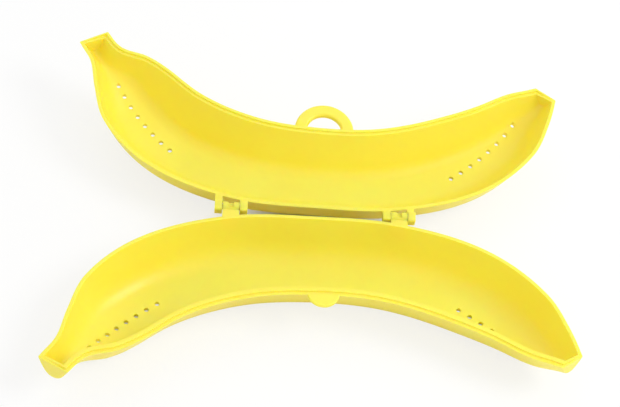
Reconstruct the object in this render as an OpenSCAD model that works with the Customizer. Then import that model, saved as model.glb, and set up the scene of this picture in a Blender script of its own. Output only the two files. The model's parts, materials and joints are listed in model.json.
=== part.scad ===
// Hinged carrying case moulded in the shape of a curved fruit, shown lying open
// Millimetres, +Z up. X runs from the stem end to the blossom end, the hinges are towards +Y.
// The origin is on the flat foot of the base, below the middle of the bend.

/* [Bend] */
// Radius of the bend that the case follows, at its centre line
bend_r = 145; // [130:1:220]
// Angle that the lid has turned through from closed
open_angle = 170; // [160:1:174]

/* [Stations along the bend: angle, reach to the back, reach to the front, rise of the floor] */
// Squared-off stem end
stem_end = [-61.9, 9.5, 8, 15.6]; // [-70:0.1:70]
// Neck behind the stem end
stem_neck = [-56.5, 9.5, 10.3, 13.4]; // [-70:0.1:70]
// Shoulder where the neck swells into the body
stem_shoulder = [-51, 16.2, 19.4, 8.8]; // [-70:0.1:70]
// Swelling body, stem side
stem_swell = [-44, 25.6, 23.6, 3.4]; // [-70:0.1:70]
// Fullest part, stem side
stem_belly = [-33, 30.4, 23.9, 0]; // [-70:0.1:70]
// Straighter back, stem side
stem_back = [-16, 28.2, 25.4, 0]; // [-70:0.1:70]
// Middle of the bend
middle = [0, 24.8, 26.1, 0]; // [-70:0.1:70]
// Straighter back, blossom side
blossom_back = [16, 29.5, 22.9, 0]; // [-70:0.1:70]
// Fullest part, blossom side
blossom_belly = [32, 34.6, 17.8, 0.5]; // [-70:0.1:70]
// Tapering body, blossom side
blossom_taper = [44, 32.1, 10.5, 4]; // [-70:0.1:70]
// Narrow tip, blossom side
blossom_tip = [51, 25.5, 4.5, 9]; // [-70:0.1:70]
// Small flat blossom end
blossom_end = [56.7, 19.4, -5.8, 17.8]; // [-70:0.1:70]

/* [Shells] */
// Height of each half from its foot to its rim
half_depth = 28; // [24:0.5:36]
// Wall thickness at the floor
wall = 2; // [1.4:0.1:3]
// Slope of the back wall from upright
back_draft = 15; // [8:1:20]
// Slope of the front wall from upright
front_draft = 25; // [16:1:30]
// Length of the rounding between the back wall and the floor
back_corner_len = 13; // [6:0.5:16]
// Length of the rounding between the front wall and the floor
front_corner_len = 6; // [3:0.5:16]
// Depth of the flat cut under the floor that makes the foot
foot_cut = 0.3; // [0.1:0.1:0.6]

/* [Rim] */
// Width of the base's rim along the front
base_rim_w = 4.2; // [3.4:0.1:5]
// Width of the lid's rim along the front
lid_rim_w = 3.2; // [2.6:0.1:4]
// Width of both rims along the back
back_rim_w = 2; // [1.6:0.1:3]
// Width of both rims at the two ends
end_rim_w = 2.4; // [2:0.1:3]
// Width of the ledge outside the tongue, along the front
ledge_w = 1.9; // [1.4:0.1:2.2]
// Height of the tongue along the front, which falls to nothing across the ends
tongue_h = 1; // [0.6:0.1:1.6]
// Gap between the closed lid and the base
rim_gap = 0.3; // [0.2:0.05:0.5]

/* [Hinges] */
// Distance between the middles of the two hinges
hinge_spacing = 91; // [60:1:120]
// Distance of the pin line behind the furthest point of the back rim
hinge_reach = 3.7; // [3.4:0.1:6]
// Diameter of a hinge pin
pin_d = 3; // [2:0.1:3.4]
// Radial play of the knuckle on its pin
pin_play = 0.08; // [0.03:0.01:0.15]
// Radial play of a pin in the seats of its ears
seat_play = 0.02; // [0.01:0.01:0.05]
// Wall of the knuckle round the pin
knuckle_wall = 1.4; // [1:0.1:1.6]
// Width of a knuckle
knuckle_w = 9; // [7:0.5:14]
// Width of the window in the middle of a knuckle
window_w = 3; // [1:0.5:4]
// Width of each ear beside a knuckle
ear_w = 4; // [2.5:0.5:6]
// Gap between a knuckle and an ear
ear_gap = 0.3; // [0.2:0.05:0.6]
// Rounding of the corners of an ear
ear_round = 1; // [0.4:0.1:1.4]
// Rise of an ear's web on the lid's wall, above the ear
web_rise = 3; // [1.5:0.5:6]
// Drop of the gusset under a knuckle
gusset_drop = 6; // [3:0.5:10]
// Wall left between the end of a pin and the outside of its ear
pin_cover = 1; // [0.6:0.1:1.6]

/* [Thumb tab and carry loop] */
// Distance of the tab and the loop from the middle, towards the blossom end
grip_x = 4.4; // [-20:0.1:20]
// Radius of the thumb tab
tab_r = 8.4; // [6:0.1:12]
// Distance of the tab's middle inside the rim's edge
tab_in = 1.6; // [0:0.1:3]
// Thickness of the thumb tab
tab_t = 1.8; // [1.4:0.1:3]
// Radius of the hole in the carry loop
loop_hole_r = 9.7; // [6:0.1:12]
// Width of the carry loop's band
loop_band = 7; // [5:0.5:10]
// Thickness of the carry loop
loop_t = 4; // [3.2:0.1:4.5]
// Rounding of the edges of the carry loop
loop_round = 1.5; // [0.5:0.1:1.5]
// Height of the loop above the closed lid's rim
loop_lift = 2; // [1.8:0.1:4]
// Depth to which the loop and the tab run into their walls
root_bite = 0.8; // [0.4:0.1:1]

/* [Vents] */
// Diameter of a vent hole
vent_d = 2.6; // [1.5:0.1:4]
// Vent holes in each row
vent_count = 8; // [2:1:10]
// Distance between vent holes along the bend
vent_pitch = 6.65; // [5:0.05:9]
// Angle from the stem end to its first vent hole
stem_vent_inset = 10.4; // [8:0.1:14]
// Angle from the blossom end to its first vent hole
blossom_vent_inset = 7; // [6:0.1:10]
// Shift of the stem row from the bend, at its first and last hole
stem_vent_shift = [-0.4, 4.2]; // [-5:0.1:12]
// Shift of the blossom row from the bend, at its first and last hole
blossom_vent_shift = [6.7, 9.2]; // [-5:0.1:12]

/* [Hidden] */
$fn = 48;
case_yellow = [0.98, 0.88, 0.2];
hinge_signs = [-1, 1];
cut_margin = 0.5;
big = 400;

// Meshing counts of a shell: steps along the bend and steps round its section
steps = 50;
wall_steps = 2;
corner_steps = 5;
floor_steps = 3;
section_steps = 2 * wall_steps + 2 * corner_steps + floor_steps;
rim_count = 2 * steps + 2;
loop_round_steps = 5;

// Length of the first and the last step, in widths of the rim at the ends
end_room = 1.7;

// Least lean of an inner wall, and the most of its floor and of its wall that a rounding may take
least_lean = 0.2;
floor_share = 0.48;
wall_share = 0.85;

// Smooth values along the bend

stations = [
    stem_end, stem_neck, stem_shoulder, stem_swell, stem_belly, stem_back,
    middle, blossom_back, blossom_belly, blossom_taper, blossom_tip, blossom_end
];
last_station = len(stations) - 1;
stem_a = stem_end[0];
blossom_a = blossom_end[0];

// Slope of value k between stations i and j
function chord(i, j, k) = (stations[j][k] - stations[i][k]) / (stations[j][0] - stations[i][0]);
function slope(i, k) = chord(max(i - 1, 0), min(i + 1, last_station), k);

// Number of the station at or before angle a
function span_of(a, i = 0) = i >= last_station - 1 || a < stations[i + 1][0] ? i : span_of(a, i + 1);

// Value k at angle a, by a cubic between the two nearest stations
function along(a, k) =
    let (
        i = span_of(a),
        h = stations[i + 1][0] - stations[i][0],
        t = (a - stations[i][0]) / h
    )
    (2 * t ^ 3 - 3 * t ^ 2 + 1) * stations[i][k] + (t ^ 3 - 2 * t ^ 2 + t) * h * slope(i, k)
    + (3 * t ^ 2 - 2 * t ^ 3) * stations[i + 1][k] + (t ^ 3 - t ^ 2) * h * slope(i + 1, k);

// Angle of step i: steps are closer together towards both ends, and the first and the last step
// are long enough for the rim to be set in from the ends
end_step = end_room * end_rim_w / bend_r * 180 / PI;
function step_angle(i) =
    let (even = (i - 1) / (steps - 2), eased = (1 - cos(180 * even)) / 2)
    i == 0 ? stem_a
    : i == steps ? blossom_a
    : stem_a + end_step + (blossom_a - stem_a - 2 * end_step) * (even + eased) / 2;

// Point at angle a and distance r from the bend's centre line, seen from above
function bend_point(a, r) = [(bend_r + r) * sin(a), (bend_r + r) * cos(a) - bend_r];

// Depth of the outside below the rim at step i, before the foot is cut
function outer_depth(i) = half_depth + foot_cut - along(step_angle(i), 3);

// Rim outlines

back_edge = [for (i = [0 : steps]) bend_point(step_angle(i), along(step_angle(i), 1))];
front_edge = [for (i = [0 : steps]) bend_point(step_angle(i), -along(step_angle(i), 2))];
outline = [
    for (i = [0 : steps]) back_edge[i],
    for (i = [steps : -1 : 0]) front_edge[i]
];
function back_y(x) = lookup(x, back_edge);
function front_y(x) = lookup(x, front_edge);

function unit(v) = v / norm(v);
function inward(p, q) = let (d = unit(q - p)) [d[1], -d[0]];

// The outline moved inwards by a distance each for the front, the back and the two ends
function inset(front_d, back_d, end_d) = [
    for (k = [0 : rim_count - 1])
        let (
            p = outline[k],
            n0 = inward(outline[(k + rim_count - 1) % rim_count], p),
            n1 = inward(p, outline[(k + 1) % rim_count]),
            c = n0 * n1,
            side_d = k <= steps ? back_d : front_d,
            d0 = k == 0 || k == steps + 1 ? end_d : side_d,
            d1 = k == steps || k == rim_count - 1 ? end_d : side_d
        )
        d0 == d1 ? p + d0 * (n0 + n1) / (1 + c)
        : p + ((d0 - d1 * c) * n0 + (d1 - d0 * c) * n1) / (1 - c ^ 2)
];

// Cross-section of a shell

function mix(p, q, t) = p + (q - p) * t;
function bezier(p, c, q, t) = mix(mix(p, c, t), mix(c, q, t), t);

// Points [across, down] from the back rim to the front rim of a section w wide and d deep, whose
// front starts at depth front_top, which leans in by back_run and front_run, with round corners
function section(w, d, front_top, back_run, front_run) =
    let (
        back_rim = [0, 0],
        front_rim = [w, front_top],
        back_corner = [back_run, d],
        front_corner = [w - front_run, d],
        floor_room = (front_corner[0] - back_corner[0]) * floor_share,
        wall_room = (d - max(front_top, 0)) * wall_share,
        back_wall_end = back_corner + unit(back_rim - back_corner) * min(back_corner_len, wall_room),
        front_wall_end = front_corner + unit(front_rim - front_corner) * min(front_corner_len, wall_room),
        back_floor_end = back_corner + [min(back_corner_len, floor_room), 0],
        front_floor_end = front_corner - [min(front_corner_len, floor_room), 0]
    )
    [
        for (j = [0 : wall_steps - 1]) mix(back_rim, back_wall_end, j / wall_steps),
        for (j = [0 : corner_steps - 1])
            bezier(back_wall_end, back_corner, back_floor_end, j / corner_steps),
        for (j = [0 : floor_steps - 1]) mix(back_floor_end, front_floor_end, j / floor_steps),
        for (j = [0 : corner_steps - 1])
            bezier(front_floor_end, front_corner, front_wall_end, j / corner_steps),
        for (j = [0 : wall_steps]) mix(front_wall_end, front_rim, j / wall_steps)
    ];

// A section set upright between the rim points a and b
function placed(profile, a, b) =
    let (across = unit(b - a))
    [for (p = profile) [a[0] + across[0] * p[0], a[1] + across[1] * p[0], -p[1]]];

function lean(d, draft) = d * tan(draft);
function inner_lean(d, draft, rim_w) = max(d * tan(draft) + wall / cos(draft) - rim_w, least_lean);

outer_rows = [
    for (i = [0 : steps])
        let (a = back_edge[i], b = front_edge[i], d = outer_depth(i))
        placed(section(norm(b - a), d, 0, lean(d, back_draft), lean(d, front_draft)), a, b)
];

function inner_rows(front_rim_w, front_top) =
    let (loop = inset(front_rim_w, back_rim_w, end_rim_w))
    [
        for (i = [0 : steps])
            let (
                a = loop[i],
                b = loop[rim_count - 1 - i],
                d = outer_depth(i) - foot_cut - wall,
                back_run = inner_lean(d, back_draft, back_rim_w),
                front_run = inner_lean(d, front_draft, front_rim_w)
            )
            placed(section(norm(b - a), d, front_top, back_run, front_run), a, b)
    ];

// The hinge line, set so that the opened lid lies on the same surface as the base

tilt = 180 - open_angle;
rest_gap = 0.05;
hinge_y = max([for (p = back_edge) p[1]]) + hinge_reach;
lid_reach_down = max([
    for (row = outer_rows, p = row)
        (min(-p[2], half_depth) + rim_gap) * cos(tilt) - (hinge_y - p[1]) * sin(tilt)
]);
hinge_drop = (half_depth - lid_reach_down - rest_gap) / (1 + cos(tilt));
hinge_z = half_depth - hinge_drop;
pin_r = pin_d / 2;
bore_r = pin_r + pin_play;
barrel_r = bore_r + knuckle_wall;
seat_len = knuckle_w + 2 * (ear_gap + ear_w - pin_cover);
pin_len = seat_len - 2 * seat_play;
ear_x = knuckle_w / 2 + ear_gap + ear_w / 2;

// Height of the lid's rim above the floor when it is closed
lid_foot = half_depth + rim_gap;

// Depth of the lid's recess, which keeps its gap to the tongue where both fall away at the ends
recess_h = tongue_h + rim_gap;

// A whole half shell as one closed surface, with its rim at height 0 and a step of step_h along the
// front of the rim, which is play nearer to the outline than the ledge. The side is 1 for a shell
// that opens upwards, and -1 for its mirror image, which opens downwards
module half_shell(front_rim_w, play, step_h, side) {
    inner = inner_rows(front_rim_w, -step_h);
    ledge = inset(ledge_w - play, back_rim_w / 2 - play, end_rim_w / 2 - play);
    row_len = section_steps + 1;
    skin_len = (steps + 1) * row_len;
    ledge_start = 2 * skin_len;
    step_start = ledge_start + rim_count;
    points = [
        for (row = outer_rows, p = row) [p[0], p[1], side * p[2]],
        for (row = inner, p = row) [p[0], p[1], side * p[2]],
        for (p = ledge) [p[0], p[1], 0],
        for (k = [steps + 1 : rim_count - 1]) [ledge[k][0], ledge[k][1], side * step_h]
    ];

    function outer_at(i, j) = i * row_len + j;
    function inner_at(i, j) = skin_len + i * row_len + j;
    function skin_rim(k, start) =
        start + (k <= steps ? k * row_len : (rim_count - 1 - k) * row_len + section_steps);

    // Point k of the rim's four loops: outer edge, ledge, top of the step, inner edge. The step has
    // no points of its own along the back, where the rim is flat
    function rim_at(l, k) =
        l == 0 ? skin_rim(k, 0)
        : l == 3 ? skin_rim(k, skin_len)
        : l == 1 || k <= steps ? ledge_start + k
        : step_start + k - steps - 1;
    function three_corners(f) = f[0] != f[1] && f[1] != f[2] && f[2] != f[0];

    rim_faces = [
        for (l = [0 : 2], k = [0 : rim_count - 1])
            let (n = (k + 1) % rim_count)
            each [
                [rim_at(l, k), rim_at(l, n), rim_at(l + 1, n)],
                [rim_at(l, k), rim_at(l + 1, n), rim_at(l + 1, k)]
            ]
    ];

    faces = [
        for (i = [0 : steps - 1], j = [0 : section_steps - 1])
            each [
                [outer_at(i, j), outer_at(i + 1, j + 1), outer_at(i + 1, j)],
                [outer_at(i, j), outer_at(i, j + 1), outer_at(i + 1, j + 1)],
                [inner_at(i, j), inner_at(i + 1, j), inner_at(i + 1, j + 1)],
                [inner_at(i, j), inner_at(i + 1, j + 1), inner_at(i, j + 1)]
            ],
        [for (j = [section_steps : -1 : 0]) outer_at(0, j)],
        [for (j = [0 : section_steps]) outer_at(steps, j)],
        [for (j = [0 : section_steps]) inner_at(0, j)],
        [for (j = [section_steps : -1 : 0]) inner_at(steps, j)],
        for (f = rim_faces) if (three_corners(f)) f
    ];
    turned = [for (f = faces) [for (v = [len(f) - 1 : -1 : 0]) f[v]]];
    polyhedron(points, side > 0 ? faces : turned, convexity = 6);
}

// Vent holes: one row near each end, along the bend
module vents(side) {
    step_a = vent_pitch / bend_r * 180 / PI;
    for (n = [0 : vent_count - 1]) {
        t = n / max(vent_count - 1, 1);
        stem_p = bend_point(
            stem_a + stem_vent_inset + n * step_a,
            mix(stem_vent_shift[0], stem_vent_shift[1], t)
        );
        blossom_p = bend_point(
            blossom_a - blossom_vent_inset - n * step_a,
            mix(blossom_vent_shift[0], blossom_vent_shift[1], t)
        );
        for (p = [stem_p, blossom_p])
            translate([p[0], p[1], -side * half_depth / 2])
                cylinder(d = vent_d, h = half_depth + 2 * cut_margin, center = true);
    }
}

// A half shell with its vents and its flat foot, rim at height 0
module vented_shell(front_rim_w, play, step_h, side) {
    difference() {
        half_shell(front_rim_w, play, step_h, side);
        vents(side);
        translate([0, 0, -side * (half_depth + big / 2)]) cube(big, center = true);
    }
}

// Puts its children into the frame with the base standing on its foot
module at_rim() {
    translate([0, 0, half_depth]) children();
}

// Turns its children from the closed lid's place to the opened one's
module opened() {
    translate([0, hinge_y, hinge_z]) rotate([-open_angle, 0, 0])
        translate([0, -hinge_y, -hinge_z]) children();
}

// Outline in Y and Z, drawn across the width w about x
module across(x, w) {
    translate([x - w / 2, 0, 0]) rotate([90, 0, 90]) linear_extrude(w) children();
}

// Hinge of the base: an arm to the pin line, with half barrels that hold the pin from above
// at both sides and from below in the middle window
module knuckle(side) {
    x = side * hinge_spacing / 2;
    wall_y = back_y(x);
    arm_top = half_depth - rim_gap;
    arm_foot = hinge_z - barrel_r;
    gusset_in = lean(half_depth - arm_foot + gusset_drop, back_draft) + wall / 2;
    hook_w = (knuckle_w - window_w) / 2;
    hook_x = window_w / 2 + hook_w / 2;
    difference() {
        union() {
            across(x, knuckle_w) polygon([
                [wall_y - back_rim_w / 2, arm_top],
                [hinge_y, arm_top],
                [hinge_y, arm_foot],
                [wall_y - gusset_in, arm_foot - gusset_drop]
            ]);
            translate([x - knuckle_w / 2, hinge_y, hinge_z]) rotate([0, 90, 0])
                cylinder(r = barrel_r, h = knuckle_w);
        }
        translate([x - knuckle_w / 2 - cut_margin, hinge_y, hinge_z]) rotate([0, 90, 0])
            cylinder(r = bore_r, h = knuckle_w + 2 * cut_margin);
        translate([x - window_w / 2, hinge_y - bore_r, hinge_z])
            cube([window_w, bore_r + barrel_r + cut_margin, barrel_r + cut_margin]);
        for (s = hinge_signs)
            translate([x + s * hook_x - hook_w / 2, hinge_y - bore_r, hinge_z - big])
                cube([hook_w, bore_r + barrel_r + cut_margin, big]);
    }
}

// Hinge of the lid: two square ears, closed at their outer sides, that carry the pin
module ears(side) {
    x = side * hinge_spacing / 2;
    half = barrel_r - ear_round;
    for (s = hinge_signs) {
        ear_mid = x + s * ear_x;
        wall_y = back_y(ear_mid);
        web_top = hinge_z + barrel_r + web_rise;
        difference() {
            across(ear_mid, ear_w) {
                translate([hinge_y, hinge_z]) {
                    square([2 * half, 2 * barrel_r], center = true);
                    square([2 * barrel_r, 2 * half], center = true);
                    for (a = hinge_signs, b = hinge_signs)
                        translate([a * half, b * half]) circle(ear_round);
                }
                polygon([
                    [hinge_y, lid_foot],
                    [hinge_y, hinge_z + barrel_r],
                    [wall_y - lean(web_top - lid_foot, back_draft) - back_rim_w / 2, web_top],
                    [wall_y - back_rim_w / 2, lid_foot]
                ]);
            }
            translate([x - seat_len / 2, hinge_y, hinge_z]) rotate([0, 90, 0])
                cylinder(r = pin_r + seat_play, h = seat_len);
        }
    }
}

// Half-round thumb tab on the front rim of the base
module thumb_tab() {
    root = lean(tab_t, front_draft) + root_bite;
    translate([grip_x, front_y(grip_x), half_depth - tab_t]) intersection() {
        translate([0, tab_in, 0]) cylinder(r = tab_r, h = tab_t);
        translate([-tab_r, -tab_r, 0]) cube([2 * tab_r, tab_r + root, tab_t]);
    }
}

// Flat ring with rounded edges, cut where it runs into the lid's wall
module carry_loop() {
    outer_r = loop_hole_r + loop_band;
    mid_r = loop_hole_r + loop_band / 2;
    mid_z = lid_foot + loop_lift + loop_t / 2;
    rim_rise = front_y(grip_x + outer_r) - front_y(grip_x - outer_r);
    turn = atan2(rim_rise, 2 * outer_r);
    root = lean(mid_z - lid_foot, front_draft) + root_bite;
    translate([grip_x, front_y(grip_x), mid_z]) rotate(turn) intersection() {
        rotate_extrude() polygon([
            for (quarter = [0 : 3], n = [0 : loop_round_steps])
                let (
                    middle = 90 * quarter + 45,
                    a = 90 * (quarter + n / loop_round_steps),
                    x = (loop_band / 2 - loop_round) * sign(cos(middle)),
                    z = (loop_t / 2 - loop_round) * sign(sin(middle))
                )
                [mid_r + x + loop_round * cos(a), z + loop_round * sin(a)]
        ]);
        translate([-outer_r, -outer_r, -loop_t]) cube([2 * outer_r, outer_r + root, 2 * loop_t]);
    }
}

// Lower half: shell with its tongue, thumb tab and the two hinge knuckles
module base_shell() {
    color(case_yellow) {
        at_rim() vented_shell(base_rim_w, 0, tongue_h, 1);
        thumb_tab();
        for (side = hinge_signs) knuckle(side);
    }
}

// Upper half: shell with its recess, carry loop and the ears of both hinges
module lid_shell() {
    color(case_yellow) opened() {
        at_rim() translate([0, 0, rim_gap]) vented_shell(lid_rim_w, rim_gap, -recess_h, -1);
        carry_loop();
        for (side = hinge_signs) ears(side);
    }
}

// Pin that joins the two ears of one hinge through the knuckle between them
module hinge_pin(side) {
    color(case_yellow)
        translate([side * hinge_spacing / 2 - pin_len / 2, hinge_y, hinge_z]) rotate([0, 90, 0])
            cylinder(d = pin_d, h = pin_len);
}

base_shell();
lid_shell();
hinge_pin(-1);  // hinge_pin_left
hinge_pin(1);  // hinge_pin_right
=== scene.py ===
import json
import math

import bmesh
import bpy
from mathutils import Matrix, Vector


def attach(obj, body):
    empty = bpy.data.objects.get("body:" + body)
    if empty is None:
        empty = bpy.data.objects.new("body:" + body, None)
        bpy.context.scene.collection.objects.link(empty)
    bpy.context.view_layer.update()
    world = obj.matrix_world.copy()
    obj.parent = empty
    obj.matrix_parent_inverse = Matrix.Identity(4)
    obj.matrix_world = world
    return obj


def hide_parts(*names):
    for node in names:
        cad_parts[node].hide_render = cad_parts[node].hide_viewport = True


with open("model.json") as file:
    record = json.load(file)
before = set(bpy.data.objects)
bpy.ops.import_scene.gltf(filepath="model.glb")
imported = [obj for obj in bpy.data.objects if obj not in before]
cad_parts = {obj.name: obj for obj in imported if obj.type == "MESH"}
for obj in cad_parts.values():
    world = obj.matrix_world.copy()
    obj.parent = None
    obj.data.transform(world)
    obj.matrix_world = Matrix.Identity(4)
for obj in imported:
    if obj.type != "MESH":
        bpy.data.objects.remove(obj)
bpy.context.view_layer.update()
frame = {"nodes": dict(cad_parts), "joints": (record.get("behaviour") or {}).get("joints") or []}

# Sizes of the case, in millimetres and degrees

MM = 0.001
BEND_R = 145.0
STATIONS = (
    # angle, reach to the back, reach to the front, rise of the floor
    (-61.9, 9.5, 8.0, 15.6),
    (-56.5, 9.5, 10.3, 13.4),
    (-51.0, 16.2, 19.4, 8.8),
    (-44.0, 25.6, 23.6, 3.4),
    (-33.0, 30.4, 23.9, 0.0),
    (-16.0, 28.2, 25.4, 0.0),
    (0.0, 24.8, 26.1, 0.0),
    (16.0, 29.5, 22.9, 0.0),
    (32.0, 34.6, 17.8, 0.5),
    (44.0, 32.1, 10.5, 4.0),
    (51.0, 25.5, 4.5, 9.0),
    (56.7, 19.4, -5.8, 17.8),
)
STEM_A = STATIONS[0][0]
BLOSSOM_A = STATIONS[-1][0]
HALF_DEPTH = 28.0
WALL = 2.0
BACK_DRAFT = math.radians(15)
FRONT_DRAFT = math.radians(25)
BACK_CORNER_LEN = 13.0
FRONT_CORNER_LEN = 6.0
FOOT_CUT = 0.3
BASE_RIM_W = 4.2
LID_RIM_W = 3.2
BACK_RIM_W = 2.0
END_RIM_W = 2.4
LEDGE_W = 1.9
TONGUE_H = 1.0
RIM_GAP = 0.3
HINGE_SPACING = 91.0
PIN_D = 3.0
PIN_PLAY = 0.08
SEAT_PLAY = 0.02
KNUCKLE_WALL = 1.4
KNUCKLE_W = 9.0
WINDOW_W = 3.0
EAR_W = 4.0
EAR_GAP = 0.3
EAR_ROUND = 1.0
WEB_RISE = 3.0
GUSSET_DROP = 6.0
PIN_COVER = 1.0
GRIP_X = 4.4
TAB_R = 8.4
TAB_IN = 1.6
TAB_T = 1.8
LOOP_HOLE_R = 9.7
LOOP_BAND = 7.0
LOOP_T = 4.0
LOOP_ROUND = 1.5
LOOP_LIFT = 2.0
ROOT_BITE = 0.8
VENT_D = 2.6
VENT_COUNT = 8
VENT_PITCH = 6.65
STEM_VENT_INSET = 10.4
BLOSSOM_VENT_INSET = 7.0
STEM_VENT_SHIFT = (-0.4, 4.2)
BLOSSOM_VENT_SHIFT = (6.7, 9.2)

# Least lean of an inner wall, and the most of its floor and wall that a rounding may take
LEAST_LEAN = 0.2
FLOOR_SHARE = 0.48
WALL_SHARE = 0.85

# Mesh counts: steps along the bend, round a section and round a circle
STEPS = 150
WALL_STEPS = 6
CORNER_STEPS = 12
FLOOR_STEPS = 6
ROUND_STEPS = 64

# Length of the first and the last step, in widths of the rim at the ends
END_ROOM = 1.7

# The hinge line and the lid's opening come from the frame
joint = frame["joints"][0]
HINGE_Y = joint["pos_m"][1] / MM
HINGE_Z = joint["pos_m"][2] / MM
OPEN_ANGLE = math.radians(joint["range_deg"][1])
PIN_R = PIN_D / 2
BORE_R = PIN_R + PIN_PLAY
BARREL_R = BORE_R + KNUCKLE_WALL
EAR_X = KNUCKLE_W / 2 + EAR_GAP + EAR_W / 2
RECESS_H = TONGUE_H + RIM_GAP
LID_FOOT = HALF_DEPTH + RIM_GAP
SIDES = (-1, 1)

# How far a cut runs past what it cuts, and a length beyond the whole case
CUT = 0.5
BIG = 400.0


# Smooth values along the bend

def chord(i, j, k):
    return (STATIONS[j][k] - STATIONS[i][k]) / (STATIONS[j][0] - STATIONS[i][0])


def slope(i, k):
    return chord(max(i - 1, 0), min(i + 1, len(STATIONS) - 1), k)


def along(a, k):
    """Value k at angle a, by a cubic between the two nearest stations."""
    i = max(n for n in range(len(STATIONS) - 1) if n == 0 or STATIONS[n][0] <= a)
    h = STATIONS[i + 1][0] - STATIONS[i][0]
    t = (a - STATIONS[i][0]) / h
    start = (2 * t**3 - 3 * t**2 + 1) * STATIONS[i][k] + (t**3 - 2 * t**2 + t) * h * slope(i, k)
    end = (3 * t**2 - 2 * t**3) * STATIONS[i + 1][k] + (t**3 - t**2) * h * slope(i + 1, k)
    return start + end


def bend_point(a, r):
    turn = math.radians(a)
    return Vector(((BEND_R + r) * math.sin(turn), (BEND_R + r) * math.cos(turn) - BEND_R))


END_STEP = math.degrees(END_ROOM * END_RIM_W / BEND_R)
angles = [STEM_A]
for n in range(STEPS - 1):
    even = n / (STEPS - 2)
    eased = (1 - math.cos(math.pi * even)) / 2
    angles.append(STEM_A + END_STEP + (BLOSSOM_A - STEM_A - 2 * END_STEP) * (even + eased) / 2)
angles.append(BLOSSOM_A)
back_edge = [bend_point(a, along(a, 1)) for a in angles]
front_edge = [bend_point(a, -along(a, 2)) for a in angles]
outline = back_edge + front_edge[::-1]
RIM_COUNT = len(outline)


def edge_y(edge, x):
    """Height of a rim edge over x, between its two nearest points."""
    for p, q in zip(edge, edge[1:]):
        if p.x <= x <= q.x:
            return p.y + (q.y - p.y) * (x - p.x) / (q.x - p.x)
    return edge[0].y


def inset(front_d, back_d, end_d):
    """The outline moved inwards by a distance each for the front, the back and the two ends."""
    moved = []
    for k, p in enumerate(outline):
        before = (p - outline[k - 1]).normalized()
        after = (outline[(k + 1) % RIM_COUNT] - p).normalized()
        n0 = Vector((before.y, -before.x))
        n1 = Vector((after.y, -after.x))
        c = n0.dot(n1)
        side_d = back_d if k <= STEPS else front_d
        d0 = end_d if k in (0, STEPS + 1) else side_d
        d1 = end_d if k in (STEPS, RIM_COUNT - 1) else side_d
        if d0 == d1:
            moved.append(p + d0 * (n0 + n1) / (1 + c))
        else:
            moved.append(p + ((d0 - d1 * c) * n0 + (d1 - d0 * c) * n1) / (1 - c**2))
    return moved


# Cross-section of a shell

def bezier(p, c, q, t):
    return p.lerp(c, t).lerp(c.lerp(q, t), t)


def section(w, d, front_top, back_run, front_run):
    """Points (across, down) from the back rim to the front rim, with rounded corners."""
    back_rim = Vector((0, 0))
    front_rim = Vector((w, front_top))
    back_corner = Vector((back_run, d))
    front_corner = Vector((w - front_run, d))
    floor_room = (front_corner.x - back_corner.x) * FLOOR_SHARE
    wall_room = (d - max(front_top, 0)) * WALL_SHARE
    back_up = (back_rim - back_corner).normalized()
    front_up = (front_rim - front_corner).normalized()
    back_wall_end = back_corner + back_up * min(BACK_CORNER_LEN, wall_room)
    front_wall_end = front_corner + front_up * min(FRONT_CORNER_LEN, wall_room)
    back_floor_end = back_corner + Vector((min(BACK_CORNER_LEN, floor_room), 0))
    front_floor_end = front_corner - Vector((min(FRONT_CORNER_LEN, floor_room), 0))
    points = [back_rim.lerp(back_wall_end, j / WALL_STEPS) for j in range(WALL_STEPS)]
    points += [
        bezier(back_wall_end, back_corner, back_floor_end, j / CORNER_STEPS)
        for j in range(CORNER_STEPS)
    ]
    points += [back_floor_end.lerp(front_floor_end, j / FLOOR_STEPS) for j in range(FLOOR_STEPS)]
    points += [
        bezier(front_floor_end, front_corner, front_wall_end, j / CORNER_STEPS)
        for j in range(CORNER_STEPS)
    ]
    points += [front_wall_end.lerp(front_rim, j / WALL_STEPS) for j in range(WALL_STEPS + 1)]
    return points


def placed(profile, a, b):
    across = (b - a).normalized()
    return [Vector((a.x + across.x * p.x, a.y + across.y * p.x, -p.y)) for p in profile]


def outer_depth(a):
    return HALF_DEPTH + FOOT_CUT - along(a, 3)


def lean(d, draft):
    return d * math.tan(draft)


def inner_lean(d, draft, rim_w):
    return max(d * math.tan(draft) + WALL / math.cos(draft) - rim_w, LEAST_LEAN)


def outer_rows():
    rows = []
    for angle, a, b in zip(angles, back_edge, front_edge):
        d = outer_depth(angle)
        profile = section((b - a).length, d, 0, lean(d, BACK_DRAFT), lean(d, FRONT_DRAFT))
        rows.append(placed(profile, a, b))
    return rows


def inner_rows(front_rim_w, front_top):
    loop = inset(front_rim_w, BACK_RIM_W, END_RIM_W)
    rows = []
    for i, angle in enumerate(angles):
        a = loop[i]
        b = loop[RIM_COUNT - 1 - i]
        d = outer_depth(angle) - FOOT_CUT - WALL
        back_run = inner_lean(d, BACK_DRAFT, BACK_RIM_W)
        front_run = inner_lean(d, FRONT_DRAFT, front_rim_w)
        rows.append(placed(section((b - a).length, d, front_top, back_run, front_run), a, b))
    return rows


# Mesh helpers

def link_mesh(name, mesh):
    obj = bpy.data.objects.new(name, mesh)
    bpy.context.scene.collection.objects.link(obj)
    return obj


def mesh_object(name, points, faces):
    """New object from points and faces, with its faces turned outwards."""
    mesh = bpy.data.meshes.new(name)
    mesh.from_pydata([tuple(p) for p in points], [], faces)
    mesh.validate()
    bm = bmesh.new()
    bm.from_mesh(mesh)
    bmesh.ops.recalc_face_normals(bm, faces=bm.faces)
    bm.to_mesh(mesh)
    bm.free()
    return link_mesh(name, mesh)


def drop(obj):
    mesh = obj.data
    bpy.data.objects.remove(obj)
    bpy.data.meshes.remove(mesh)


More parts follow.
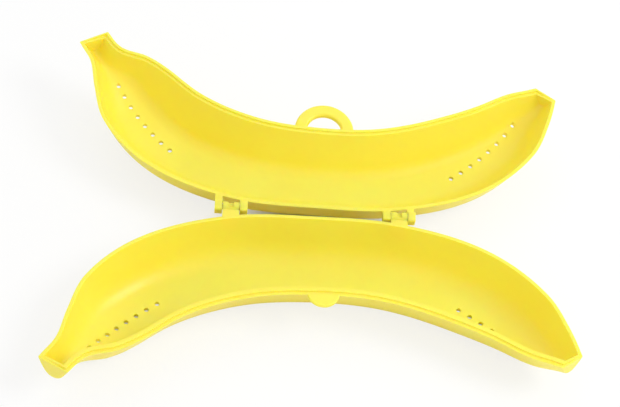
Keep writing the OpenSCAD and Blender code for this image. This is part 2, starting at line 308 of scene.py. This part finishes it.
def bake_modifiers(obj):
    """Replaces the object's mesh by what its modifiers make of it."""
    bpy.context.view_layer.update()
    depsgraph = bpy.context.evaluated_depsgraph_get()
    mesh = bpy.data.meshes.new_from_object(obj.evaluated_get(depsgraph))
    old = obj.data
    obj.modifiers.clear()
    obj.data = mesh
    bpy.data.meshes.remove(old)
    return obj


def bevel(obj, width, segments=3, angle=35):
    """Rounds the edges that turn by more than the angle, in degrees."""
    mod = obj.modifiers.new("bevel", "BEVEL")
    mod.width = width
    mod.segments = segments
    mod.limit_method = "ANGLE"
    mod.angle_limit = math.radians(angle)
    return bake_modifiers(obj)


def combine(obj, others, operation):
    """Joins or cuts other closed meshes into the object, and deletes them."""
    for other in others:
        mod = obj.modifiers.new("boolean", "BOOLEAN")
        mod.operation = operation
        mod.solver = "MANIFOLD"
        mod.object = other
        bake_modifiers(obj)
        drop(other)
    return obj


def cylinder(name, axis, centre, r, h):
    """Closed cylinder of height h about its centre, along X or Z."""
    bm = bmesh.new()
    bmesh.ops.create_cone(
        bm, cap_ends=True, segments=ROUND_STEPS, radius1=r, radius2=r, depth=h
    )
    if axis == "X":
        bmesh.ops.rotate(bm, verts=bm.verts, matrix=Matrix.Rotation(math.pi / 2, 3, "Y"))
    bmesh.ops.translate(bm, verts=bm.verts, vec=centre)
    mesh = bpy.data.meshes.new(name)
    bm.to_mesh(mesh)
    bm.free()
    return link_mesh(name, mesh)


def block(name, low, high):
    """Box between its lowest and its highest corner."""
    (x0, y0, z0), (x1, y1, z1) = low, high
    points = [(x, y, z) for z in (z0, z1) for y in (y0, y1) for x in (x0, x1)]
    faces = [(0, 2, 3, 1), (4, 5, 7, 6), (0, 1, 5, 4), (2, 6, 7, 3), (0, 4, 6, 2), (1, 3, 7, 5)]
    return mesh_object(name, points, faces)


def solid_between(name, first, last):
    """Closed solid between two outlines with as many points each."""
    n = len(first)
    faces = [tuple(range(n)), tuple(range(2 * n - 1, n - 1, -1))]
    faces += [(k, (k + 1) % n, n + (k + 1) % n, n + k) for k in range(n)]
    return mesh_object(name, first + last, faces)


def prism(name, outline_yz, x, w):
    """Outline in Y and Z, drawn across the width w about x."""
    first, last = [[(x + s * w / 2, y, z) for y, z in outline_yz] for s in SIDES]
    return solid_between(name, first, last)


def slab(name, outline_xy, z0, z1):
    """Outline in X and Y, drawn up from z0 to z1."""
    first, last = [[(x, y, z) for x, y in outline_xy] for z in (z0, z1)]
    return solid_between(name, first, last)


# The two half shells, with the roundings of their rims and of their flat ends

EDGE_ROUND = 0.46
END_ROUND = 2.2
END_SEGMENTS = 5


def round_ends(obj, rings):
    """Rounds the edges round the two flat ends, given as rows of point numbers."""
    bm = bmesh.new()
    bm.from_mesh(obj.data)
    bm.verts.ensure_lookup_table()
    edges = [
        bm.edges.get((bm.verts[a], bm.verts[b]))
        for ring in rings for a, b in zip(ring, ring[1:])
    ]
    bmesh.ops.bevel(
        bm, geom=edges, offset=END_ROUND, offset_type="OFFSET", segments=END_SEGMENTS, profile=0.5,
        affect="EDGES", clamp_overlap=True
    )
    bm.to_mesh(obj.data)
    bm.free()
    return obj


def half_shell(name, front_rim_w, play, step_h, side):
    """A closed half shell with its rim at height 0. It opens upwards for side 1, downwards for -1."""
    outer = outer_rows()
    inner = inner_rows(front_rim_w, -step_h)
    ledge = inset(LEDGE_W - play, BACK_RIM_W / 2 - play, END_RIM_W / 2 - play)
    row_len = len(outer[0])
    skin_len = len(outer) * row_len
    ledge_start = 2 * skin_len
    step_start = ledge_start + RIM_COUNT
    points = [p for row in outer + inner for p in row]
    points += [Vector((p.x, p.y, 0)) for p in ledge]
    points += [Vector((p.x, p.y, step_h)) for p in ledge[STEPS + 1:]]
    points = [Vector((p.x, p.y, side * p.z)) for p in points]

    def skin_rim(k, start):
        if k <= STEPS:
            return start + k * row_len
        return start + (RIM_COUNT - 1 - k) * row_len + row_len - 1

    def rim_at(loop, k):
        """Point k of the rim's loops: outer edge, ledge, top of the step, inner edge."""
        k %= RIM_COUNT
        if loop == 0:
            return skin_rim(k, 0)
        if loop == 3:
            return skin_rim(k, skin_len)
        if loop == 1 or k <= STEPS:
            return ledge_start + k
        return step_start + k - STEPS - 1

    faces = []
    for start in (0, skin_len):
        for i in range(STEPS):
            for j in range(row_len - 1):
                a = start + i * row_len + j
                b = a + row_len
                faces.append((a, b, b + 1, a + 1))
        faces.append(tuple(start + j for j in range(row_len)))
        faces.append(tuple(start + STEPS * row_len + j for j in range(row_len)))
    for loop in range(3):
        for k in range(RIM_COUNT):
            corners = (
                rim_at(loop, k), rim_at(loop, k + 1),
                rim_at(loop + 1, k + 1), rim_at(loop + 1, k),
            )
            kept = tuple(dict.fromkeys(corners))
            if len(kept) > 2:
                faces.append(kept)
    shell = mesh_object(name, points, faces)
    round_ends(shell, [range(row_len), range(STEPS * row_len, (STEPS + 1) * row_len)])
    return bevel(shell, EDGE_ROUND)


def vent_points():
    """Middles of the vent holes, seen from above."""
    step_a = math.degrees(VENT_PITCH / BEND_R)
    points = []
    for n in range(VENT_COUNT):
        t = n / (VENT_COUNT - 1)
        stem_r = STEM_VENT_SHIFT[0] + (STEM_VENT_SHIFT[1] - STEM_VENT_SHIFT[0]) * t
        blossom_r = BLOSSOM_VENT_SHIFT[0] + (BLOSSOM_VENT_SHIFT[1] - BLOSSOM_VENT_SHIFT[0]) * t
        points.append(bend_point(STEM_A + STEM_VENT_INSET + n * step_a, stem_r))
        points.append(bend_point(BLOSSOM_A - BLOSSOM_VENT_INSET - n * step_a, blossom_r))
    return points


def vented_shell(name, front_rim_w, play, step_h, side):
    """A half shell with its vents drilled and its foot cut flat."""
    shell = half_shell(name, front_rim_w, play, step_h, side)
    cutters = [
        cylinder("vent", "Z", (p.x, p.y, -side * HALF_DEPTH / 2), VENT_D / 2, HALF_DEPTH + 2 * CUT)
        for p in vent_points()
    ]
    foot = -side * HALF_DEPTH
    z0, z1 = sorted((foot, foot - side * BIG))
    cutters.append(block("foot", (-BIG, -BIG, z0), (BIG, BIG, z1)))
    return combine(shell, cutters, "DIFFERENCE")


def shift(obj, offset):
    obj.data.transform(Matrix.Translation(offset))
    return obj


def opened(obj):
    """Turns the mesh from the closed lid's place to the opened one's."""
    pivot = Vector((0, HINGE_Y, HINGE_Z))
    turn = Matrix.Rotation(-OPEN_ANGLE, 4, "X")
    obj.data.transform(Matrix.Translation(pivot) @ turn @ Matrix.Translation(-pivot))
    return obj


def rounded_box(u, v, half_u, half_v, r, steps=6):
    """Outline of a rectangle with rounded corners, about u and v."""
    points = []
    for quarter in range(4):
        middle = math.pi / 2 * quarter + math.pi / 4
        cu = u + (half_u - r) * math.copysign(1, math.cos(middle))
        cv = v + (half_v - r) * math.copysign(1, math.sin(middle))
        for n in range(steps + 1):
            a = math.pi / 2 * (quarter + n / steps)
            points.append((cu + r * math.cos(a), cv + r * math.sin(a)))
    return points


# Hinges

SMALL_ROUND = 0.25
SMALL_SEGMENTS = 2


def knuckle(side):
    """The tray's half of a hinge: an arm and a barrel that hooks round the pin from both sides."""
    x = side * HINGE_SPACING / 2
    wall_y = edge_y(back_edge, x)
    arm_top = HALF_DEPTH - RIM_GAP
    arm_foot = HINGE_Z - BARREL_R
    gusset_in = lean(HALF_DEPTH - arm_foot + GUSSET_DROP, BACK_DRAFT) + WALL / 2
    hook_w = (KNUCKLE_W - WINDOW_W) / 2
    hook_x = WINDOW_W / 2 + hook_w / 2
    arm = prism("arm", [
        (wall_y - BACK_RIM_W / 2, arm_top),
        (HINGE_Y, arm_top),
        (HINGE_Y, arm_foot),
        (wall_y - gusset_in, arm_foot - GUSSET_DROP),
    ], x, KNUCKLE_W)
    axis = (x, HINGE_Y, HINGE_Z)
    combine(arm, [cylinder("barrel", "X", axis, BARREL_R, KNUCKLE_W)], "UNION")
    reach = HINGE_Y + BARREL_R + CUT
    cutters = [
        cylinder("bore", "X", axis, BORE_R, KNUCKLE_W + 2 * CUT),
        block(
            "window", (x - WINDOW_W / 2, HINGE_Y - BORE_R, HINGE_Z),
            (x + WINDOW_W / 2, reach, HINGE_Z + BARREL_R + CUT)
        ),
    ]
    for s in SIDES:
        left = x + s * hook_x - hook_w / 2 - (CUT if s < 0 else 0)
        right = x + s * hook_x + hook_w / 2 + (CUT if s > 0 else 0)
        cutters.append(block(
            "under_hook", (left, HINGE_Y - BORE_R, HINGE_Z - HALF_DEPTH), (right, reach, HINGE_Z)
        ))
    combine(arm, cutters, "DIFFERENCE")
    return bevel(arm, SMALL_ROUND, SMALL_SEGMENTS)


def ears(side):
    """The lid's half of a hinge: two ears with the pin's seats, on webs to the lid's wall."""
    x = side * HINGE_SPACING / 2
    made = []
    for s in SIDES:
        mid = x + s * EAR_X
        wall_y = edge_y(back_edge, mid)
        web_top = HINGE_Z + BARREL_R + WEB_RISE
        ear = prism("ear", rounded_box(HINGE_Y, HINGE_Z, BARREL_R, BARREL_R, EAR_ROUND), mid, EAR_W)
        web = prism("web", [
            (HINGE_Y, LID_FOOT),
            (HINGE_Y, HINGE_Z + BARREL_R),
            (wall_y - lean(web_top - LID_FOOT, BACK_DRAFT) - BACK_RIM_W / 2, web_top),
            (wall_y - BACK_RIM_W / 2, LID_FOOT),
        ], mid, EAR_W)
        combine(ear, [web], "UNION")
        seat_len = KNUCKLE_W + 2 * (EAR_GAP + EAR_W - PIN_COVER)
        seat = cylinder("seat", "X", (x, HINGE_Y, HINGE_Z), PIN_R + SEAT_PLAY, seat_len)
        combine(ear, [seat], "DIFFERENCE")
        made.append(bevel(ear, SMALL_ROUND, SMALL_SEGMENTS))
    return made


# Thumb tab and carry loop

TAB_ROUND = 0.7
TAB_SEGMENTS = 4
TAB_EDGE_ANGLE = 60


def thumb_tab():
    """Half-round tab on the tray's front wall, level with its rim."""
    root = lean(TAB_T, FRONT_DRAFT) + ROOT_BITE
    y = edge_y(front_edge, GRIP_X)
    widest = math.asin((root - TAB_IN) / TAB_R)
    rim = []
    for n in range(ROUND_STEPS + 1):
        a = widest - (math.pi + 2 * widest) * n / ROUND_STEPS
        rim.append((GRIP_X + TAB_R * math.cos(a), y + TAB_IN + TAB_R * math.sin(a)))
    tab = slab("tab", rim, HALF_DEPTH - TAB_T, HALF_DEPTH)
    return bevel(tab, TAB_ROUND, TAB_SEGMENTS, TAB_EDGE_ANGLE)


def carry_loop():
    """Flat ring with rounded edges on the lid's front wall, cut off inside the wall."""
    outer_r = LOOP_HOLE_R + LOOP_BAND
    mid_r = LOOP_HOLE_R + LOOP_BAND / 2
    mid_z = LID_FOOT + LOOP_LIFT + LOOP_T / 2
    root = lean(mid_z - LID_FOOT, FRONT_DRAFT) + ROOT_BITE
    ring = rounded_box(mid_r, 0, LOOP_BAND / 2, LOOP_T / 2, LOOP_ROUND)
    count = len(ring)
    turns = 2 * ROUND_STEPS
    points = [
        (r * math.cos(2 * math.pi * t / turns), r * math.sin(2 * math.pi * t / turns), z)
        for t in range(turns) for r, z in ring
    ]
    faces = [
        (t * count + k, t * count + (k + 1) % count,
         (t + 1) % turns * count + (k + 1) % count, (t + 1) % turns * count + k)
        for t in range(turns) for k in range(count)
    ]
    loop = mesh_object("loop", points, faces)
    behind = block("behind", (-BIG, root, -BIG), (BIG, BIG, BIG))
    combine(loop, [behind], "DIFFERENCE")
    left = edge_y(front_edge, GRIP_X - outer_r)
    right = edge_y(front_edge, GRIP_X + outer_r)
    turn = Matrix.Rotation(math.atan2(right - left, 2 * outer_r), 4, "Z")
    place = Matrix.Translation((GRIP_X, edge_y(front_edge, GRIP_X), mid_z))
    loop.data.transform(place @ turn)
    return loop


# Finish of the moulded plastic, from its deepest to its palest colour

PLASTIC_DEEP = (0.945, 0.785, 0.080, 1)
PLASTIC_PALE = (0.960, 0.825, 0.100, 1)
NOISE_LOW = 0.3
NOISE_HIGH = 0.7
ROUGH_LEAST = 0.30
ROUGH_MOST = 0.42


def add_node(tree, kind, inputs=None, **settings):
    """New node with its settings, and its inputs linked to a socket or set to a value."""
    node = tree.nodes.new(kind)
    for key, value in settings.items():
        setattr(node, key, value)
    for key, value in (inputs or {}).items():
        if isinstance(value, bpy.types.NodeSocket):
            tree.links.new(value, node.inputs[key])
        else:
            node.inputs[key].default_value = value
    return node


def plastic():
    """Glossy yellow moulded plastic with cloudy colour, fine moulding grain and faint scuffs."""
    mat = bpy.data.materials.new("case_plastic")
    mat.use_nodes = True
    tree = mat.node_tree
    shader = tree.nodes["Principled BSDF"]
    place = add_node(tree, "ShaderNodeTexCoord").outputs["Object"]
    cloud = add_node(tree, "ShaderNodeTexNoise", {
        "Vector": place, "Scale": 18.0, "Detail": 3.0, "Roughness": 0.5
    })
    colour = add_node(tree, "ShaderNodeValToRGB", {"Fac": cloud.outputs["Fac"]})
    colour.color_ramp.elements[0].position = NOISE_LOW
    colour.color_ramp.elements[0].color = PLASTIC_DEEP
    colour.color_ramp.elements[1].position = NOISE_HIGH
    colour.color_ramp.elements[1].color = PLASTIC_PALE
    tree.links.new(colour.outputs["Color"], shader.inputs["Base Color"])

    scuff = add_node(tree, "ShaderNodeTexNoise", {
        "Vector": place, "Scale": 60.0, "Detail": 6.0, "Roughness": 0.65
    })
    rough = add_node(tree, "ShaderNodeMapRange", {
        "Value": scuff.outputs["Fac"],
        "From Min": NOISE_LOW, "From Max": NOISE_HIGH,
        "To Min": ROUGH_LEAST, "To Max": ROUGH_MOST,
    })
    tree.links.new(rough.outputs["Result"], shader.inputs["Roughness"])

    grain = add_node(tree, "ShaderNodeTexNoise", {
        "Vector": place, "Scale": 2200.0, "Detail": 2.0, "Roughness": 0.5
    })
    bump = add_node(tree, "ShaderNodeBump", {
        "Height": grain.outputs["Fac"], "Strength": 0.06, "Distance": 0.0003
    })
    tree.links.new(bump.outputs["Normal"], shader.inputs["Normal"])
    shader.inputs["IOR"].default_value = 1.49
    shader.inputs["Subsurface Weight"].default_value = 0.85
    shader.inputs["Subsurface Radius"].default_value = (1.0, 0.72, 0.12)
    shader.inputs["Subsurface Scale"].default_value = 0.004
    return mat


# The pieces

SHARP_ANGLE = math.radians(40)


def finish_mesh(obj, mat):
    """Scales the mesh to metres, smooths it and gives it its material."""
    obj.data.transform(Matrix.Scale(MM, 4))
    obj.data.materials.clear()
    obj.data.materials.append(mat)
    obj.data.shade_smooth()
    obj.data.set_sharp_from_angle(angle=SHARP_ANGLE)
    mod = obj.modifiers.new("normals", "WEIGHTED_NORMAL")
    mod.keep_sharp = True
    return obj


case_plastic = plastic()

base = vented_shell("base_moulding", BASE_RIM_W, 0, TONGUE_H, 1)
shift(base, (0, 0, HALF_DEPTH))
combine(base, [thumb_tab()] + [knuckle(side) for side in SIDES], "UNION")
finish_mesh(base, case_plastic)
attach(base, "base")
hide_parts("base_shell")

lid = vented_shell("lid_moulding", LID_RIM_W, RIM_GAP, -RECESS_H, -1)
shift(lid, (0, 0, LID_FOOT))
combine(lid, [carry_loop()] + ears(-1) + ears(1), "UNION")
opened(lid)
finish_mesh(lid, case_plastic)
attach(lid, "lid")
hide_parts("lid_shell")

for name in ("hinge_pin_left", "hinge_pin_right"):
    pin = frame["nodes"][name]
    pin.data.materials.clear()
    pin.data.materials.append(case_plastic)


# Floor, light and camera, in metres

FLOOR_SIZE = 6.0
FLOOR_DROP = 0.0002
FLOOR_DEEP = (0.93, 0.93, 0.93, 1)
FLOOR_PALE = (0.95, 0.95, 0.95, 1)
WHITE = (1, 1, 1, 1)

# How much of the floor the camera sees as plain white, the rest shows the shadow
GLOW_SHARE = 0.75

# Painted shade: spots with less plain white, in the gap between the two halves and under the tray's
# vents, placed where the floor lies in shade so that its real shadow shows there. The shade inside
# them is rendered, while their place and size are painted.
# Each has its middle, half its length and width, its turn and the part of the white that is left in
# it. The dimming is full within the inner half of a spot
PAINTED_SHADE_SPOTS = (
    ((0.0, 0.034), (0.06, 0.03), 0.0, 0.0),
    ((-0.100, -0.032), (0.034, 0.013), math.radians(48), 0.35),
    ((0.100, -0.023), (0.030, 0.010), math.radians(-41), 0.45),
)
SPOT_CORE = 0.5


def floor_material():
    mat = bpy.data.materials.new("white_floor")
    mat.use_nodes = True
    tree = mat.node_tree
    shader = tree.nodes["Principled BSDF"]
    place = add_node(tree, "ShaderNodeTexCoord").outputs["Object"]
    cloud = add_node(tree, "ShaderNodeTexNoise", {"Vector": place, "Scale": 2.0, "Detail": 2.0})
    tone = add_node(tree, "ShaderNodeValToRGB", {"Fac": cloud.outputs["Fac"]})
    tone.color_ramp.elements[0].color = FLOOR_DEEP
    tone.color_ramp.elements[1].color = FLOOR_PALE
    tree.links.new(tone.outputs["Color"], shader.inputs["Base Color"])
    shader.inputs["Roughness"].default_value = 0.9
    shader.inputs["Specular IOR Level"].default_value = 0.1
    path = add_node(tree, "ShaderNodeLightPath")
    seen = add_node(tree, "ShaderNodeMapRange", {
        "Value": path.outputs["Is Camera Ray"], "To Max": GLOW_SHARE
    })
    share = seen.outputs["Result"]
    # Painted shade: in each spot the camera's plain white on the floor is taken away, so the floor's
    # real shadow shows there
    for middle, half, turn, left in PAINTED_SHADE_SPOTS:
        spot = add_node(tree, "ShaderNodeMapping", {
            "Vector": place, "Location": (*middle, 0), "Rotation": (0, 0, turn), "Scale": (*half, 1)
        }, vector_type="TEXTURE")
        near = add_node(tree, "ShaderNodeTexGradient", {
            "Vector": spot.outputs["Vector"]
        }, gradient_type="SPHERICAL")
        white = add_node(tree, "ShaderNodeMapRange", {
            "Value": near.outputs["Fac"], "From Max": SPOT_CORE, "To Min": 1.0, "To Max": left
        })
        dimmed = add_node(tree, "ShaderNodeMath", {
            0: share, 1: white.outputs["Result"]
        }, operation="MULTIPLY")
        share = dimmed.outputs["Value"]
    glow = add_node(tree, "ShaderNodeEmission", {"Color": WHITE, "Strength": 1.0})
    mix = add_node(tree, "ShaderNodeMixShader", {
        0: share, 1: shader.outputs["BSDF"], 2: glow.outputs["Emission"]
    })
    tree.links.new(mix.outputs["Shader"], tree.nodes["Material Output"].inputs["Surface"])
    return mat


def make_floor():
    half = FLOOR_SIZE / 2
    corners = [(-half, -half), (half, -half), (half, half), (-half, half)]
    floor = mesh_object("floor", [(x, y, -FLOOR_DROP) for x, y in corners], [(0, 1, 2, 3)])
    floor.data.materials.append(floor_material())


# Strength of the world's light on the case, and the lamps: name, place, diameter and watts
WORLD_LEVEL = 0.77
LIT_POINT = Vector((0, 0.04, 0.02))
LAMPS = (
    ("key", (0.9, -0.1, 0.95), 0.6, 6.6),
    ("fill", (-0.2, 0.7, 1.2), 1.0, 1.5),
)


def area_light(name, place, size, power):
    data = bpy.data.lights.new(name, "AREA")
    data.shape = "DISK"
    data.size = size
    data.energy = power
    obj = bpy.data.objects.new(name, data)
    obj.location = place
    obj.rotation_euler = (LIT_POINT - Vector(place)).to_track_quat("-Z", "Y").to_euler()
    bpy.context.scene.collection.objects.link(obj)


def world_light():
    """Even white light, which the camera sees as plain white."""
    world = bpy.data.worlds.new("studio")
    bpy.context.scene.world = world
    world.use_nodes = True
    tree = world.node_tree
    path = add_node(tree, "ShaderNodeLightPath")
    seen = add_node(tree, "ShaderNodeMath", {
        0: path.outputs["Is Camera Ray"], 1: path.outputs["Is Transmission Ray"]
    }, operation="MAXIMUM")
    level = add_node(tree, "ShaderNodeMapRange", {
        "Value": seen.outputs["Value"], "To Min": WORLD_LEVEL, "To Max": 1.0
    })
    background = tree.nodes["Background"]
    background.inputs["Color"].default_value = WHITE
    tree.links.new(level.outputs["Result"], background.inputs["Strength"])


make_floor()
world_light()
for lamp in LAMPS:
    area_light(*lamp)

# Camera, fitted to the outlines of both halves in the photograph. Angles are in radians
IMAGE_W = 620
SENSOR_W = 36.0
FOCAL_PX = 1443.97
CAM_ELEVATION = 0.90472
CAM_AZIMUTH = -0.11436
CAM_ROLL = 0.15279
CAM_DISTANCE = 0.78094
CAM_TARGET = Vector((-0.003028, 0.033272, 0.028))


def make_camera():
    flat = math.cos(CAM_ELEVATION)
    back = Vector((
        math.sin(CAM_AZIMUTH) * flat, -math.cos(CAM_AZIMUTH) * flat, math.sin(CAM_ELEVATION)
    ))
    level_right = Vector((math.cos(CAM_AZIMUTH), math.sin(CAM_AZIMUTH), 0))
    level_up = back.cross(level_right)
    right = math.cos(CAM_ROLL) * level_right + math.sin(CAM_ROLL) * level_up
    up = back.cross(right)
    data = bpy.data.cameras.new("camera")
    data.sensor_fit = "HORIZONTAL"
    data.sensor_width = SENSOR_W
    data.lens = FOCAL_PX / IMAGE_W * SENSOR_W
    data.clip_start = 0.01
    data.clip_end = 20.0
    camera = bpy.data.objects.new("camera", data)
    turn = Matrix((right, up, back)).transposed().to_4x4()
    camera.matrix_world = Matrix.Translation(CAM_TARGET + back * CAM_DISTANCE) @ turn
    bpy.context.scene.collection.objects.link(camera)
    bpy.context.scene.camera = camera


make_camera()
bpy.context.scene.view_settings.view_transform = "Standard"
